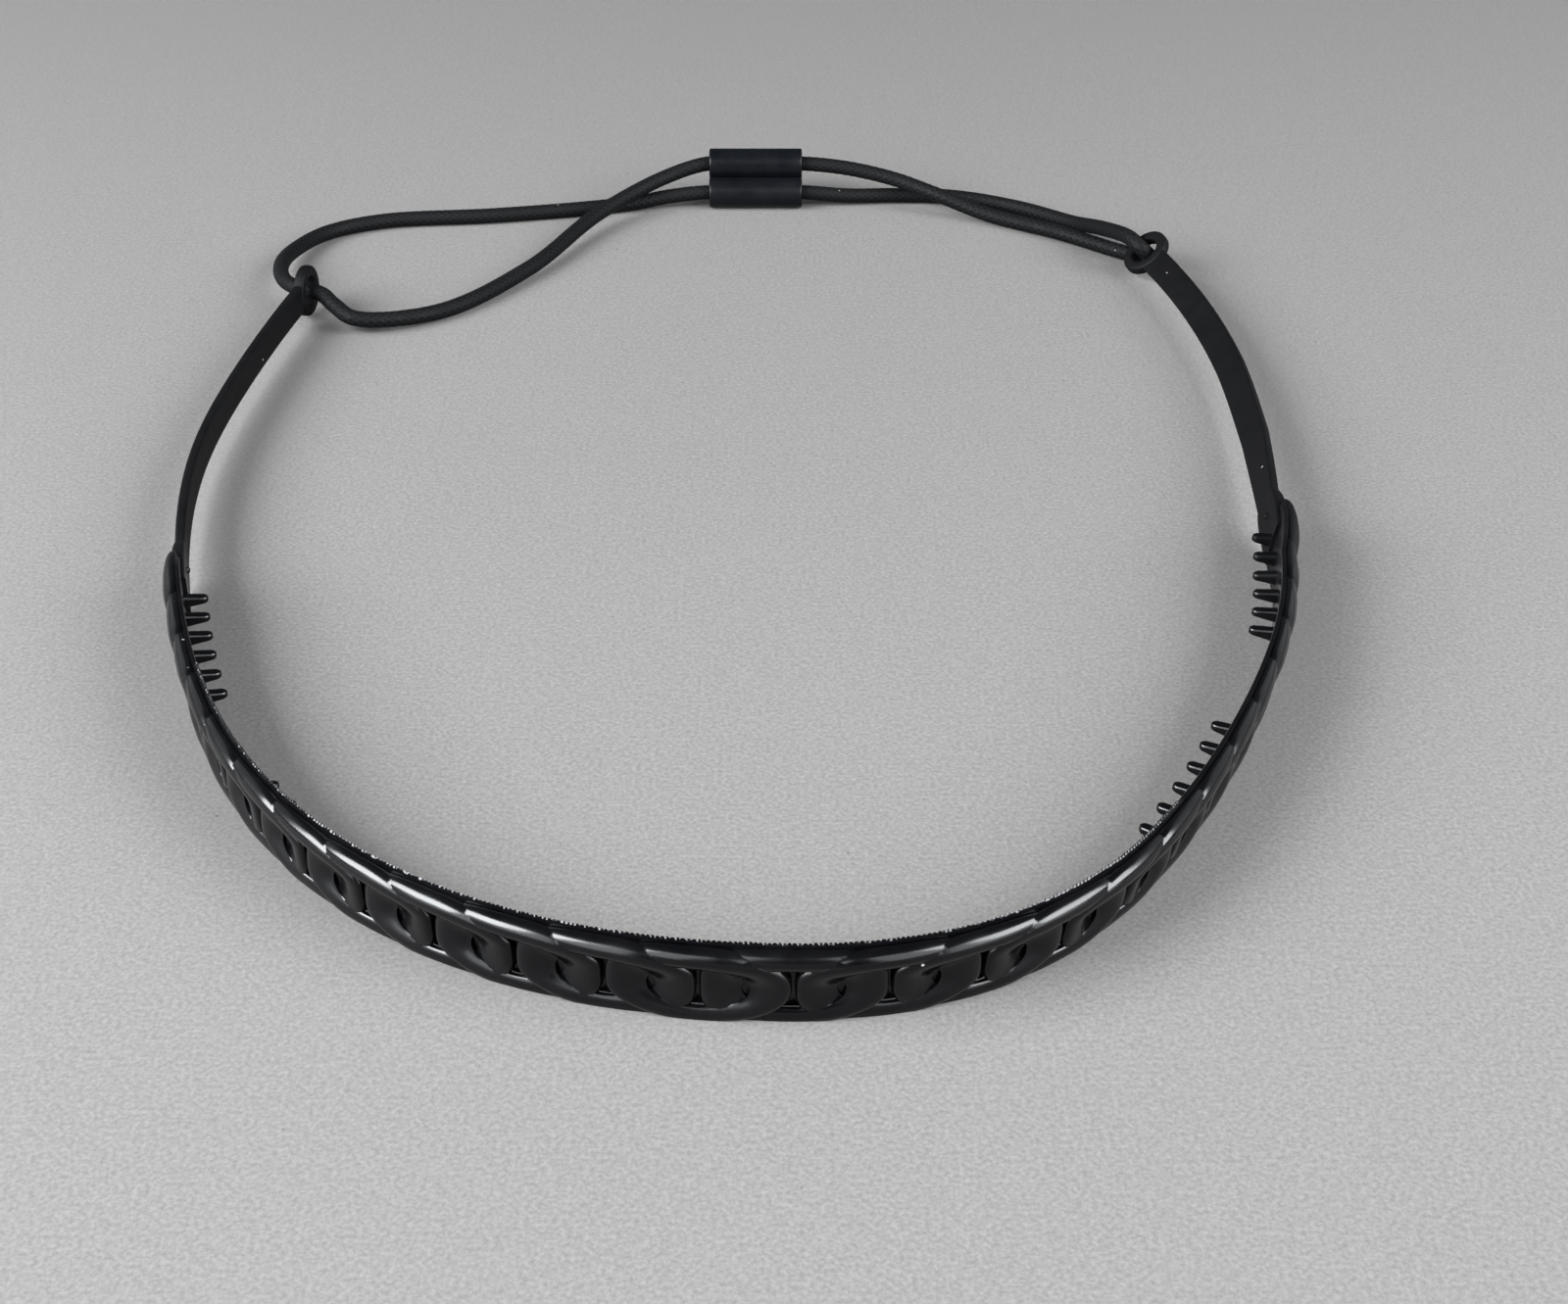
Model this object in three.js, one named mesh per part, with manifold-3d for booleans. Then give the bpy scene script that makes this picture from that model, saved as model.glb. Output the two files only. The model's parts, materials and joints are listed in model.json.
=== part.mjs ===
import * as THREE from "three";
import { mergeVertices } from "three/addons/utils/BufferGeometryUtils.js";
import Module from "manifold-3d";

// Chain headband in millimetres, +Z up, lying on the lower edge of its band.
// The band is drawn straight: x runs along it from its middle link, y points to
// the head with the straps' inner face at y = 0, and z is up. Each piece is then bent onto
// the plan curve and joined.

const LINK_PITCH = 8.2;
const LINK_COUNT = 25;
const LINK_OUTER = { long: 7.9, high: 4.05 };
const LINK_INNER = { long: 4.7, high: 2.15 };
const LINK_SQUARENESS = 2.2;
const LINK_MIDDLE = { out: 1.25, up: 3.8 };
const LINK_HALF_THICK = 0.45;
const LINK_WEAVE = 0.35;
const LINK_RING_SIDES = 14;
const LINK_WIRE_SIDES = 6;
const WIRE_SQUARENESS = 3;

const PLATE_HALF_LONG = 105.3;
const PLATE_SETBACK = 0.45;
const PLATE_THICK = 0.8;
const PLATE_HALF_HIGH = 3.4;
const PLATE_UP = 4.6;
const PLATE_END_REACH = 7.1;
const PLATE_STEPS = 56;
const BAND_THICK = 2.05;
const END_PIECE = { from: 100, to: 109.4, thick: 1.5, high: 5.6, tip: 0.75, steps: 5 };
const END_ROUNDING = 4;

const TOOTH_STARTS = [-99.5, -61.2, 41.4, 81];
const TOOTH_PITCH = 3.97;
const TOOTH_COUNT = 6;
const TOOTH_LONG = 2.55;
const TOOTH_WIDE = 1.15;
const TOOTH_HIGH = 1.1;
const TOOTH_UP = 3.8;
const TOOTH_TAPER = 0.2;
const TOOTH_ROOT = 0.3;

const STRAP_START = 104;
const STRAP_THICK = 1.15;
const STRAP_HIGH = 3.9;
const STRAP_STEP = 3.5;
const EYELET_AT = { left: -182.5, right: 183.5 };
const EYELET_RADIUS = 3.5;
const EYELET_HOLE_RADIUS = 1.95;
const EYELET_THICK = 1.5;
const EYELET_SIDES = 20;
const EYELET_WALL_OVERLAP = 1.05;

// Plan of the straps' inner face, walked both ways from a point near its middle. at is the
// distance from that point; left and right are the bends on each side in degrees
// per 10 mm; lean is how far the right side's top tips outward, in degrees. The
// middle link sits CHAIN_MIDDLE to the right of the point.
const MIDDLE_POINT = { x: 2.5, y: -80.05, heading: -2.82 };
const STATIONS = [
  { at: 0, left: 8.5, right: 8.5, lean: 0 },
  { at: 12, left: 9.5, right: 15, lean: 3.5 },
  { at: 24, left: 10, right: 17, lean: 7 },
  { at: 36, left: 10, right: 11.5, lean: 10 },
  { at: 48, left: 9, right: 5, lean: 8.5 },
  { at: 64, left: 7, right: 3.5, lean: 6.5 },
  { at: 80, left: 4.5, right: 5, lean: 5 },
  { at: 96, left: 2, right: 8.25, lean: 2 },
  { at: 112, left: 3.75, right: 1.5, lean: 16 },
  { at: 130, left: 5.25, right: -0.5, lean: 37 },
  { at: 150, left: 1.5, right: 3, lean: 46 },
  { at: 170, left: 1.75, right: 3.75, lean: 48 },
  { at: 195, left: -3.5, right: 4.5, lean: 49 },
];
const PLAN_STEP = 0.5;
const CHAIN_MIDDLE = 4.1;

const CUT_OVERRUN = 2;
const FLOOR_BLOCK = { wide: 400, deep: 10 };

const CORD_RADIUS = 1.1;
const CORD_SIDES = 8;
const CORD_STEPS_PER_POINT = 2;

const STOPPER_LONG = 14.2;
const STOPPER_SIDES = 20;
const STOPPER_TUBE_RADIUS = 2.3;
const STOPPER_BORE_RADIUS = 1.6;
const STOPPER_SPACING = 4.4;
const STOPPER_SLOPE = 57;
const STOPPER_LOWER_TUBE = { x: -1.05, y: 184.9, z: 2.3 };

// Route of the cord from its first end in the stopper's upper tube to its last,
// measured from the middle point of the band's inner face.
const CORD_ROUTE = {
  upperTubeToLeftEyelet: [
    [-1.4, 187.3, 6.0],
    [-8.4, 187.3, 6.0],
    [-14.7, 185.5, 4.6],
    [-24.3, 176.2, 2.6],
    [-33.5, 158.1, 1.4],
    [-45.0, 143.4, 1.25],
    [-55.6, 138.9, 2.4],
    [-58.8, 141.4, 3.3],
    [-60.6, 143.7, 3.7],
  ],
  throughLeftEyelet: [
    [-62.4, 144.9, 3.8],
    [-64.2, 145.7, 3.8],
  ],
  leftEyeletToLowerTube: [
    [-66.6, 148.5, 3.6],
    [-68.7, 156.0, 2.7],
    [-68.3, 164.0, 1.7],
    [-64.6, 171.9, 1.2],
    [-57.0, 176.2, 1.2],
    [-40.0, 178.5, 1.2],
    [-20.7, 182.9, 1.2],
    [-14.0, 184.6, 1.8],
    [-8.4, 184.9, 2.3],
  ],
  lowerTubeToRightEyelet: [
    [6.3, 184.9, 2.3],
    [13.0, 185.6, 1.5],
    [21.0, 186.5, 1.2],
    [30.0, 185.6, 1.2],
    [39.2, 181.3, 1.2],
    [46.5, 174.4, 1.7],
    [50.2, 167.6, 3.6],
    [53.2, 160.2, 5.2],
  ],
  throughRightEyelet: [
    [54.2, 158.7, 4.7],
    [55.5, 158.4, 3.6],
    [56.4, 159.4, 2.4],
  ],
  rightEyeletToUpperTube: [
    [56.0, 161.2, 1.7],
    [52.3, 165.0, 1.2],
    [44.3, 171.8, 1.2],
    [34.0, 178.4, 1.4],
    [26.4, 181.9, 3.2],
    [20.0, 185.7, 4.2],
    [13.0, 187.2, 5.3],
    [6.3, 187.3, 6.0],
    [-0.7, 187.3, 6.0],
  ],
};

const wasm = await Module();
wasm.setup();

function stationValue(column, distance) {
  const last = STATIONS.length - 1;
  let next = 1;
  while (next < last && STATIONS[next].at < distance) {
    next += 1;
  }
  const from = STATIONS[next - 1];
  const to = STATIONS[next];
  const part = (distance - from.at) / (to.at - from.at);
  return from[column] + (to[column] - from[column]) * part;
}

// Points of the plan curve every PLAN_STEP along one side of the middle.
function walkPlan(column, side) {
  const points = [];
  const place = { x: MIDDLE_POINT.x, y: MIDDLE_POINT.y };
  let heading = THREE.MathUtils.degToRad(MIDDLE_POINT.heading);
  const end = STATIONS[STATIONS.length - 1].at;
  for (let run = 0; run <= end; run += PLAN_STEP) {
    points.push({ x: place.x, y: place.y, heading });
    const bend = stationValue(column, run + PLAN_STEP / 2) / 10;
    const turn = THREE.MathUtils.degToRad(bend) * PLAN_STEP * side;
    place.x += Math.cos(heading + turn / 2) * PLAN_STEP * side;
    place.y += Math.sin(heading + turn / 2) * PLAN_STEP * side;
    heading += turn;
  }
  return points;
}

const PLAN_LEFT = walkPlan("left", -1);
const PLAN_RIGHT = walkPlan("right", 1);

function planAt(along) {
  const points = along < 0 ? PLAN_LEFT : PLAN_RIGHT;
  const run = Math.abs(along) / PLAN_STEP;
  const index = Math.min(Math.floor(run), points.length - 2);
  const from = points[index];
  const to = points[index + 1];
  const part = run - index;
  return {
    x: THREE.MathUtils.lerp(from.x, to.x, part),
    y: THREE.MathUtils.lerp(from.y, to.y, part),
    heading: THREE.MathUtils.lerp(from.heading, to.heading, part),
    lean: along < 0 ? 0 : THREE.MathUtils.degToRad(stationValue("lean", along)),
  };
}

// Bends a straight piece onto the plan curve and leans it about the band's lower
// outer edge.
function bend(geometry) {
  const position = geometry.attributes.position;
  for (let i = 0; i < position.count; i += 1) {
    const plan = planAt(position.getX(i) + CHAIN_MIDDLE);
    const inset = -position.getY(i) - BAND_THICK;
    const height = position.getZ(i);
    const out = BAND_THICK + inset * Math.cos(plan.lean) + height * Math.sin(plan.lean);
    const up = height * Math.cos(plan.lean) - inset * Math.sin(plan.lean);
    const x = plan.x + Math.sin(plan.heading) * out;
    const y = plan.y - Math.cos(plan.heading) * out;
    position.setXYZ(i, x, y, up);
  }
  return geometry;
}

function toSolid(geometry) {
  const bare = geometry.clone();
  bare.deleteAttribute("normal");
  bare.deleteAttribute("uv");
  const merged = mergeVertices(bare, 1e-4);
  const mesh = new wasm.Mesh({
    numProp: 3,
    vertProperties: new Float32Array(merged.attributes.position.array),
    triVerts: new Uint32Array(merged.index.array),
  });
  return new wasm.Manifold(mesh);
}

function toGeometry(solid) {
  const mesh = solid.getMesh();
  const geometry = new THREE.BufferGeometry();
  geometry.setAttribute("position", new THREE.BufferAttribute(mesh.vertProperties, 3));
  geometry.setIndex(new THREE.BufferAttribute(mesh.triVerts, 1));
  geometry.computeVertexNormals();
  return geometry;
}

function join(solids) {
  return solids.reduce((whole, solid) => whole.add(solid));
}

function signedPower(value, power) {
  return Math.sign(value) * Math.abs(value) ** power;
}

function ovalPoint(size, angle, squareness) {
  const power = 2 / squareness;
  return new THREE.Vector2(
    size.long * signedPower(Math.cos(angle), power),
    size.high * signedPower(Math.sin(angle), power),
  );
}

// Which way each of a link's four crossings is pushed: 1 is out over its
// neighbour, -1 is in under it. The order is top right, top left, bottom left,
// bottom right. The weave of the right half mirrors the left half.
function crossings(index) {
  const middle = (LINK_COUNT - 1) / 2;
  if (index === middle - 1) {
    return [1, -1, 1, 1];
  }
  if (index === middle) {
    return [-1, -1, -1, 1];
  }
  return index < middle ? [1, -1, 1, -1] : [-1, 1, -1, 1];
}

function weaveAt(corners, angle) {
  const turns = angle / (Math.PI / 2) - 0.5;
  const from = Math.floor(turns);
  const part = (1 - Math.cos(Math.PI * (turns - from))) / 2;
  return THREE.MathUtils.lerp(corners[(from + 4) % 4], corners[(from + 5) % 4], part);
}

// One oval link: a ring whose wire is broad at the two ends and narrow along the
// top and bottom rails.
function makeLink(index) {
  const ring = new THREE.TorusGeometry(1, 0.5, LINK_WIRE_SIDES, LINK_RING_SIDES);
  const position = ring.attributes.position;
  const uv = ring.attributes.uv;
  const along = (index - (LINK_COUNT - 1) / 2) * LINK_PITCH;
  const corners = crossings(index);
  for (let i = 0; i < position.count; i += 1) {
    const angle = 2 * Math.PI * (uv.getX(i) % 1);
    const turn = 2 * Math.PI * (uv.getY(i) % 1);
    const across = signedPower(Math.cos(turn), 2 / WIRE_SQUARENESS);
    const thick = signedPower(Math.sin(turn), 2 / WIRE_SQUARENESS);
    const outer = ovalPoint(LINK_OUTER, angle, LINK_SQUARENESS);
    const inner = ovalPoint(LINK_INNER, angle, LINK_SQUARENESS);
    const point = inner.lerp(outer, (1 + across) / 2);
    const weave = LINK_WEAVE * weaveAt(corners, angle);
    const out = LINK_MIDDLE.out + weave + LINK_HALF_THICK * thick;
    position.setXYZ(i, along + point.x, -out, LINK_MIDDLE.up + point.y);
  }
  return toSolid(bend(ring));
}

// Backing plate behind the links, rounded off at the last link on each side.
function makePlate() {
  const plate = new THREE.BoxGeometry(2 * PLATE_HALF_LONG, PLATE_THICK, 2, PLATE_STEPS, 1, 1);
  const position = plate.attributes.position;
  const lastLink = ((LINK_COUNT - 1) / 2) * LINK_PITCH;
  for (let i = 0; i < position.count; i += 1) {
    const past = Math.max(Math.abs(position.getX(i)) - lastLink, 0) / PLATE_END_REACH;
    const round = (1 - past ** LINK_SQUARENESS) ** (1 / LINK_SQUARENESS);
    position.setY(i, position.getY(i) - PLATE_THICK / 2 - PLATE_SETBACK);
    position.setZ(i, PLATE_UP + position.getZ(i) * PLATE_HALF_HIGH * round);
  }
  return toSolid(bend(plate));
}

// Low block that steps down from the last link to the strap.
function makeEndPiece(side) {
  const { from, to, thick, high, tip, steps } = END_PIECE;
  const long = to - from;
  const block = new THREE.BoxGeometry(long, thick, high, steps, 1, 1);
  const position = block.attributes.position;
  for (let i = 0; i < position.count; i += 1) {
    const run = 0.5 + (side * position.getX(i)) / long;
    const size = 1 - (1 - tip) * run ** END_ROUNDING;
    position.setX(i, position.getX(i) + (side * (from + to)) / 2);
    position.setY(i, (position.getY(i) - thick / 2) * size);
    position.setZ(i, LINK_MIDDLE.up + position.getZ(i) * size);
  }
  return toSolid(bend(block));
}

// One comb tooth: a tongue with a round tip that thins towards the tip.
function makeTooth(along) {
  const half = TOOTH_WIDE / 2;
  const outline = new THREE.Shape();
  outline.moveTo(half, -TOOTH_ROOT);
  outline.lineTo(half, TOOTH_LONG - half);
  outline.absarc(0, TOOTH_LONG - half, half, 0, Math.PI, false);
  outline.lineTo(-half, -TOOTH_ROOT);
  const settings = { depth: 1, bevelEnabled: false, curveSegments: 2 };
  const tooth = new THREE.ExtrudeGeometry(outline, settings);
  const position = tooth.attributes.position;
  for (let i = 0; i < position.count; i += 1) {
    const thin = 1 - (TOOTH_TAPER * position.getY(i)) / TOOTH_LONG;
    position.setX(i, position.getX(i) + along);
    position.setY(i, position.getY(i) - PLATE_SETBACK);
    position.setZ(i, TOOTH_UP + (position.getZ(i) - 0.5) * TOOTH_HIGH * thin);
  }
  return toSolid(bend(tooth));
}

function makeStrap(eyelet) {
  const side = Math.sign(eyelet);
  const end = Math.abs(eyelet) - EYELET_RADIUS + EYELET_WALL_OVERLAP;
  const long = end - STRAP_START;
  const steps = Math.round(long / STRAP_STEP);
  const strap = new THREE.BoxGeometry(long, STRAP_THICK, STRAP_HIGH, steps, 1, 1);
  strap.translate(side * (STRAP_START + long / 2), -STRAP_THICK / 2, LINK_MIDDLE.up);
  return toSolid(bend(strap));
}

function makeEyeletDisc(eyelet, radius, thick) {
  const disc = new THREE.CylinderGeometry(radius, radius, thick, EYELET_SIDES);
  disc.translate(eyelet, -STRAP_THICK / 2, LINK_MIDDLE.up);
  return toSolid(bend(disc));
}

// The whole moulding, with the feet of its links cut flat where they rest.
function makeBand() {
  const solids = [makePlate()];
  for (let index = 0; index < LINK_COUNT; index += 1) {
    solids.push(makeLink(index));
  }
  for (const start of TOOTH_STARTS) {
    for (let index = 0; index < TOOTH_COUNT; index += 1) {
      solids.push(makeTooth(start + index * TOOTH_PITCH));
    }
  }
  const eyelets = [EYELET_AT.left, EYELET_AT.right];
  for (const eyelet of eyelets) {
    solids.push(makeEndPiece(Math.sign(eyelet)));
    solids.push(makeStrap(eyelet));
    solids.push(makeEyeletDisc(eyelet, EYELET_RADIUS, EYELET_THICK));
  }
  let band = join(solids);
  for (const eyelet of eyelets) {
    const cutter = makeEyeletDisc(eyelet, EYELET_HOLE_RADIUS, EYELET_THICK + CUT_OVERRUN);
    band = band.subtract(cutter);
  }
  const floor = new THREE.BoxGeometry(FLOOR_BLOCK.wide, FLOOR_BLOCK.wide, FLOOR_BLOCK.deep);
  floor.translate(0, 0, -FLOOR_BLOCK.deep / 2);
  return toGeometry(band.subtract(toSolid(floor)));
}

// Steps along the cord follow the points of its route, so that they are short
// where it turns through an eyelet.
class CordPath extends THREE.CatmullRomCurve3 {
  getUtoTmapping(u) {
    return u;
  }
}

function makeCord() {
  const points = Object.values(CORD_ROUTE)
    .flat()
    .map(([x, y, z]) => new THREE.Vector3(x + MIDDLE_POINT.x, y + MIDDLE_POINT.y, z));
  const section = new THREE.Shape();
  for (let side = 0; side < CORD_SIDES; side += 1) {
    const angle = (2 * Math.PI * side) / CORD_SIDES;
    const x = CORD_RADIUS * Math.cos(angle);
    const y = CORD_RADIUS * Math.sin(angle);
    if (side === 0) {
      section.moveTo(x, y);
    } else {
      section.lineTo(x, y);
    }
  }
  return new THREE.ExtrudeGeometry(section, {
    steps: CORD_STEPS_PER_POINT * (points.length - 1),
    extrudePath: new CordPath(points),
    bevelEnabled: false,
  });
}

function makeStopperTube(radius, long, spacing) {
  const tube = new THREE.CylinderGeometry(radius, radius, long, STOPPER_SIDES);
  tube.rotateZ(Math.PI / 2);
  const slope = THREE.MathUtils.degToRad(STOPPER_SLOPE);
  tube.translate(0, spacing * Math.cos(slope), spacing * Math.sin(slope));
  return toSolid(tube);
}

// Two fused tubes side by side, each with a bore for one run of the cord.
function makeStopper() {
  const lower = makeStopperTube(STOPPER_TUBE_RADIUS, STOPPER_LONG, 0);
  const upper = makeStopperTube(STOPPER_TUBE_RADIUS, STOPPER_LONG, STOPPER_SPACING);
  const boreLong = STOPPER_LONG + CUT_OVERRUN;
  const lowerBore = makeStopperTube(STOPPER_BORE_RADIUS, boreLong, 0);
  const upperBore = makeStopperTube(STOPPER_BORE_RADIUS, boreLong, STOPPER_SPACING);
  return toGeometry(lower.add(upper).subtract(lowerBore).subtract(upperBore));
}

function namedMesh(name, geometry, look) {
  const mesh = new THREE.Mesh(geometry, new THREE.MeshStandardMaterial(look));
  mesh.name = name;
  return mesh;
}

const headband = new THREE.Group();
const bandLook = { color: 0x0b0b0d, roughness: 0.22, metalness: 0 };
headband.add(namedMesh("band", makeBand(), bandLook));
const cordLook = { color: 0x101012, roughness: 0.75, metalness: 0 };
headband.add(namedMesh("elastic_cord", makeCord(), cordLook));
const stopperLook = { color: 0x0d0d12, roughness: 0.4, metalness: 0 };
const stopper = namedMesh("cord_stopper", makeStopper(), stopperLook);
stopper.position.set(
  STOPPER_LOWER_TUBE.x + MIDDLE_POINT.x,
  STOPPER_LOWER_TUBE.y + MIDDLE_POINT.y,
  STOPPER_LOWER_TUBE.z,
);
headband.add(stopper);

export default headband;
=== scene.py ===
"""Chain headband: a moulded band with a curb-chain relief, an elastic cord and its stopper."""

import json
import logging
import math
from collections.abc import Sequence
from dataclasses import dataclass, field
from enum import Enum

import bmesh
import bpy
import numpy as np
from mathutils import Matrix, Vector

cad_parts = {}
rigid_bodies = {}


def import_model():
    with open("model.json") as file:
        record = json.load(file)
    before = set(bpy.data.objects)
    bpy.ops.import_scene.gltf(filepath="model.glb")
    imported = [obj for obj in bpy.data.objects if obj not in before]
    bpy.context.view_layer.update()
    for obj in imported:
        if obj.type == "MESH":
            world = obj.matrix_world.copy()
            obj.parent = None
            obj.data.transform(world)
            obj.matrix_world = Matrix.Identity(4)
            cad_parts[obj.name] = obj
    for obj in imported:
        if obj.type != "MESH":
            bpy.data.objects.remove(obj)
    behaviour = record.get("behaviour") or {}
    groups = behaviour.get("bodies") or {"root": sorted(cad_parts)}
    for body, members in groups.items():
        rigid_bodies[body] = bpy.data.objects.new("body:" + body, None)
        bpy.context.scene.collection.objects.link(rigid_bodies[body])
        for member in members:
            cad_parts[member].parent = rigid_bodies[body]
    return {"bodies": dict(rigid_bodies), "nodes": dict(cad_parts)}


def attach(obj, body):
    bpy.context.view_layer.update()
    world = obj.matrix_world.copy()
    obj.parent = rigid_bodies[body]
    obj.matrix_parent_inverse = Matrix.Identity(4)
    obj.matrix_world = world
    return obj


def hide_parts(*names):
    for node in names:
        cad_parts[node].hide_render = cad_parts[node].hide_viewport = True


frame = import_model()

LOG = logging.getLogger("chain_headband")
MILLIMETRE = 0.001
FULL_TURN = 2 * math.pi
QUARTER_TURN = math.pi / 2
BODY = "root"
UNIT = (0.0, 1.0)
# The range that most of the noise lies in.
NOISE = (0.3, 0.7)

Array = np.ndarray
Colour = tuple[float, float, float, float]
Point = tuple[float, float, float]
Range = tuple[float, float]
Material = bpy.types.Material
Node = bpy.types.Node
Object = bpy.types.Object
Socket = bpy.types.NodeSocket
Tree = bpy.types.NodeTree
Value = Socket | Colour | float


class Side(Enum):
    """A side of the headband, as a sign along its length."""

    LEFT = -1
    RIGHT = 1


class Fusing(Enum):
    """How one solid changes another."""

    JOIN = "UNION"
    CUT = "DIFFERENCE"


class Ends(Enum):
    """What happens to the two ends of a row of sections."""

    JOINED = "joined"
    CAPPED = "capped"


class Slot(Enum):
    """The material slots of the part's record."""

    BAND = "band"
    CORD = "elastic_cord"
    STOPPER = "cord_stopper"


@dataclass
class Shell:
    """A closed surface given by points and faces.

    Args:
        points: one row of x, y, z for each point.
        faces: the point numbers round each face.
    """

    points: Array
    faces: list[tuple[int, ...]]

    @staticmethod
    def gathered(shells: Sequence["Shell"]) -> "Shell":
        """Puts shells that do not touch into one.

        Args:
            shells: the shells to gather.

        Returns:
            One shell with all their points and faces.
        """
        faces: list[tuple[int, ...]] = []
        start = 0
        for shell in shells:
            faces += [tuple(i + start for i in face) for face in shell.faces]
            start += len(shell.points)
        return Shell(np.vstack([shell.points for shell in shells]), faces)

    @staticmethod
    def swept(points: Array, ends: Ends) -> "Shell":
        """Joins sections that stand in a row.

        Args:
            points: points by section, by place in the section, and by axis.
            ends: what happens to the ends of the row.

        Returns:
            The closed shell.
        """
        number = np.arange(points.shape[0] * points.shape[1]).reshape(points.shape[:2])
        capped = ends is Ends.CAPPED
        here = number[:-1] if capped else number
        ahead = np.roll(number, -1, axis=0)[: len(here)]
        corners = [here, ahead, np.roll(ahead, -1, axis=1), np.roll(here, -1, axis=1)]
        faces = np.stack(corners, axis=-1).reshape(-1, 4).tolist()
        if capped:
            faces += [number[0].tolist(), number[-1][::-1].tolist()]
        return Shell(points.reshape(-1, 3), [tuple(face) for face in faces])

    def to_object(self, name: str) -> Object:
        """Makes a mesh object whose faces look outward.

        Args:
            name: the name of the object and its mesh.

        Returns:
            The object, linked to the scene.
        """
        mesh = bpy.data.meshes.new(name)
        mesh.from_pydata(self.points.tolist(), [], self.faces)
        work = bmesh.new()
        work.from_mesh(mesh)
        bmesh.ops.recalc_face_normals(work, faces=work.faces)
        work.to_mesh(mesh)
        work.free()
        made = bpy.data.objects.new(name, mesh)
        bpy.context.scene.collection.objects.link(made)
        return made


def fuse(solid: Object, shell: Shell, how: Fusing) -> None:
    """Joins a shell to a solid or cuts it away, and leaves one surface.

    Args:
        solid: the object that is changed.
        shell: the closed shell that changes it.
        how: join or cut.
    """
    tool = shell.to_object("tool")
    change = solid.modifiers.new("fuse", "BOOLEAN")
    change.operation = how.value
    change.solver = "MANIFOLD"
    change.object = tool
    bpy.context.view_layer.update()
    seen = solid.evaluated_get(bpy.context.evaluated_depsgraph_get())
    mesh = bpy.data.meshes.new_from_object(seen)
    solid.modifiers.clear()
    spent = (solid.data, tool.data)
    solid.data = mesh
    bpy.data.objects.remove(tool)
    bpy.data.batch_remove(spent)


def smooth(solid: Object, crease: float) -> None:
    """Shades a solid smooth up to a crease angle in degrees."""
    solid.data.shade_smooth()
    solid.data.set_sharp_from_angle(angle=math.radians(crease))


def signed_power(value: Array, power: float | Array) -> Array:
    """Raises the size of a value to a power and keeps its sign."""
    return np.sign(value) * np.abs(value) ** power


def circle(sides: int) -> Array:
    """Divides a full turn into equal angles."""
    return np.linspace(0, FULL_TURN, sides, endpoint=False)


def grid(x: Array, y: Array, z: Array) -> Array:
    """Spreads three coordinates over one grid of points."""
    return np.stack(np.broadcast_arrays(x, y, z), axis=-1)


def rounded_section(
    wide: float, high: float, radius: float, corner: int, across: int, up: int
) -> Array:
    """Draws a rectangle with round corners about its middle.

    Args:
        wide: its width.
        high: its height.
        radius: the radius of its corners.
        corner: the steps round each corner.
        across: the steps along its top and bottom.
        up: the steps along its sides.

    Returns:
        Its points in order, one row of width and height each.
    """
    half_wide, half_high = wide / 2 - radius, high / 2 - radius
    arcs: list[Array] = []
    for quarter, (x, y) in enumerate([(1, 1), (-1, 1), (-1, -1), (1, -1)]):
        turns = [math.radians(90 * quarter + 90 * step / corner) for step in range(corner + 1)]
        wave = np.array([(math.cos(turn), math.sin(turn)) for turn in turns])
        arcs.append(np.array([x * half_wide, y * half_high]) + radius * wave)
    points: list[Array] = []
    for quarter, arc in enumerate(arcs):
        steps = up if quarter % 2 else across
        gap = arcs[(quarter + 1) % 4][0] - arc[-1]
        points += [*arc, *(arc[-1] + gap * (step / steps) for step in range(1, steps))]
    return np.array(points)


def turned(section: Array, reach: float, sides: int) -> Array:
    """Turns a section that stands off from an axis, and gives both coordinates across the axis."""
    angle = circle(sides)
    return np.stack([np.cos(angle), np.sin(angle)])[..., None] * (section[:, 0] + reach)


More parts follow.
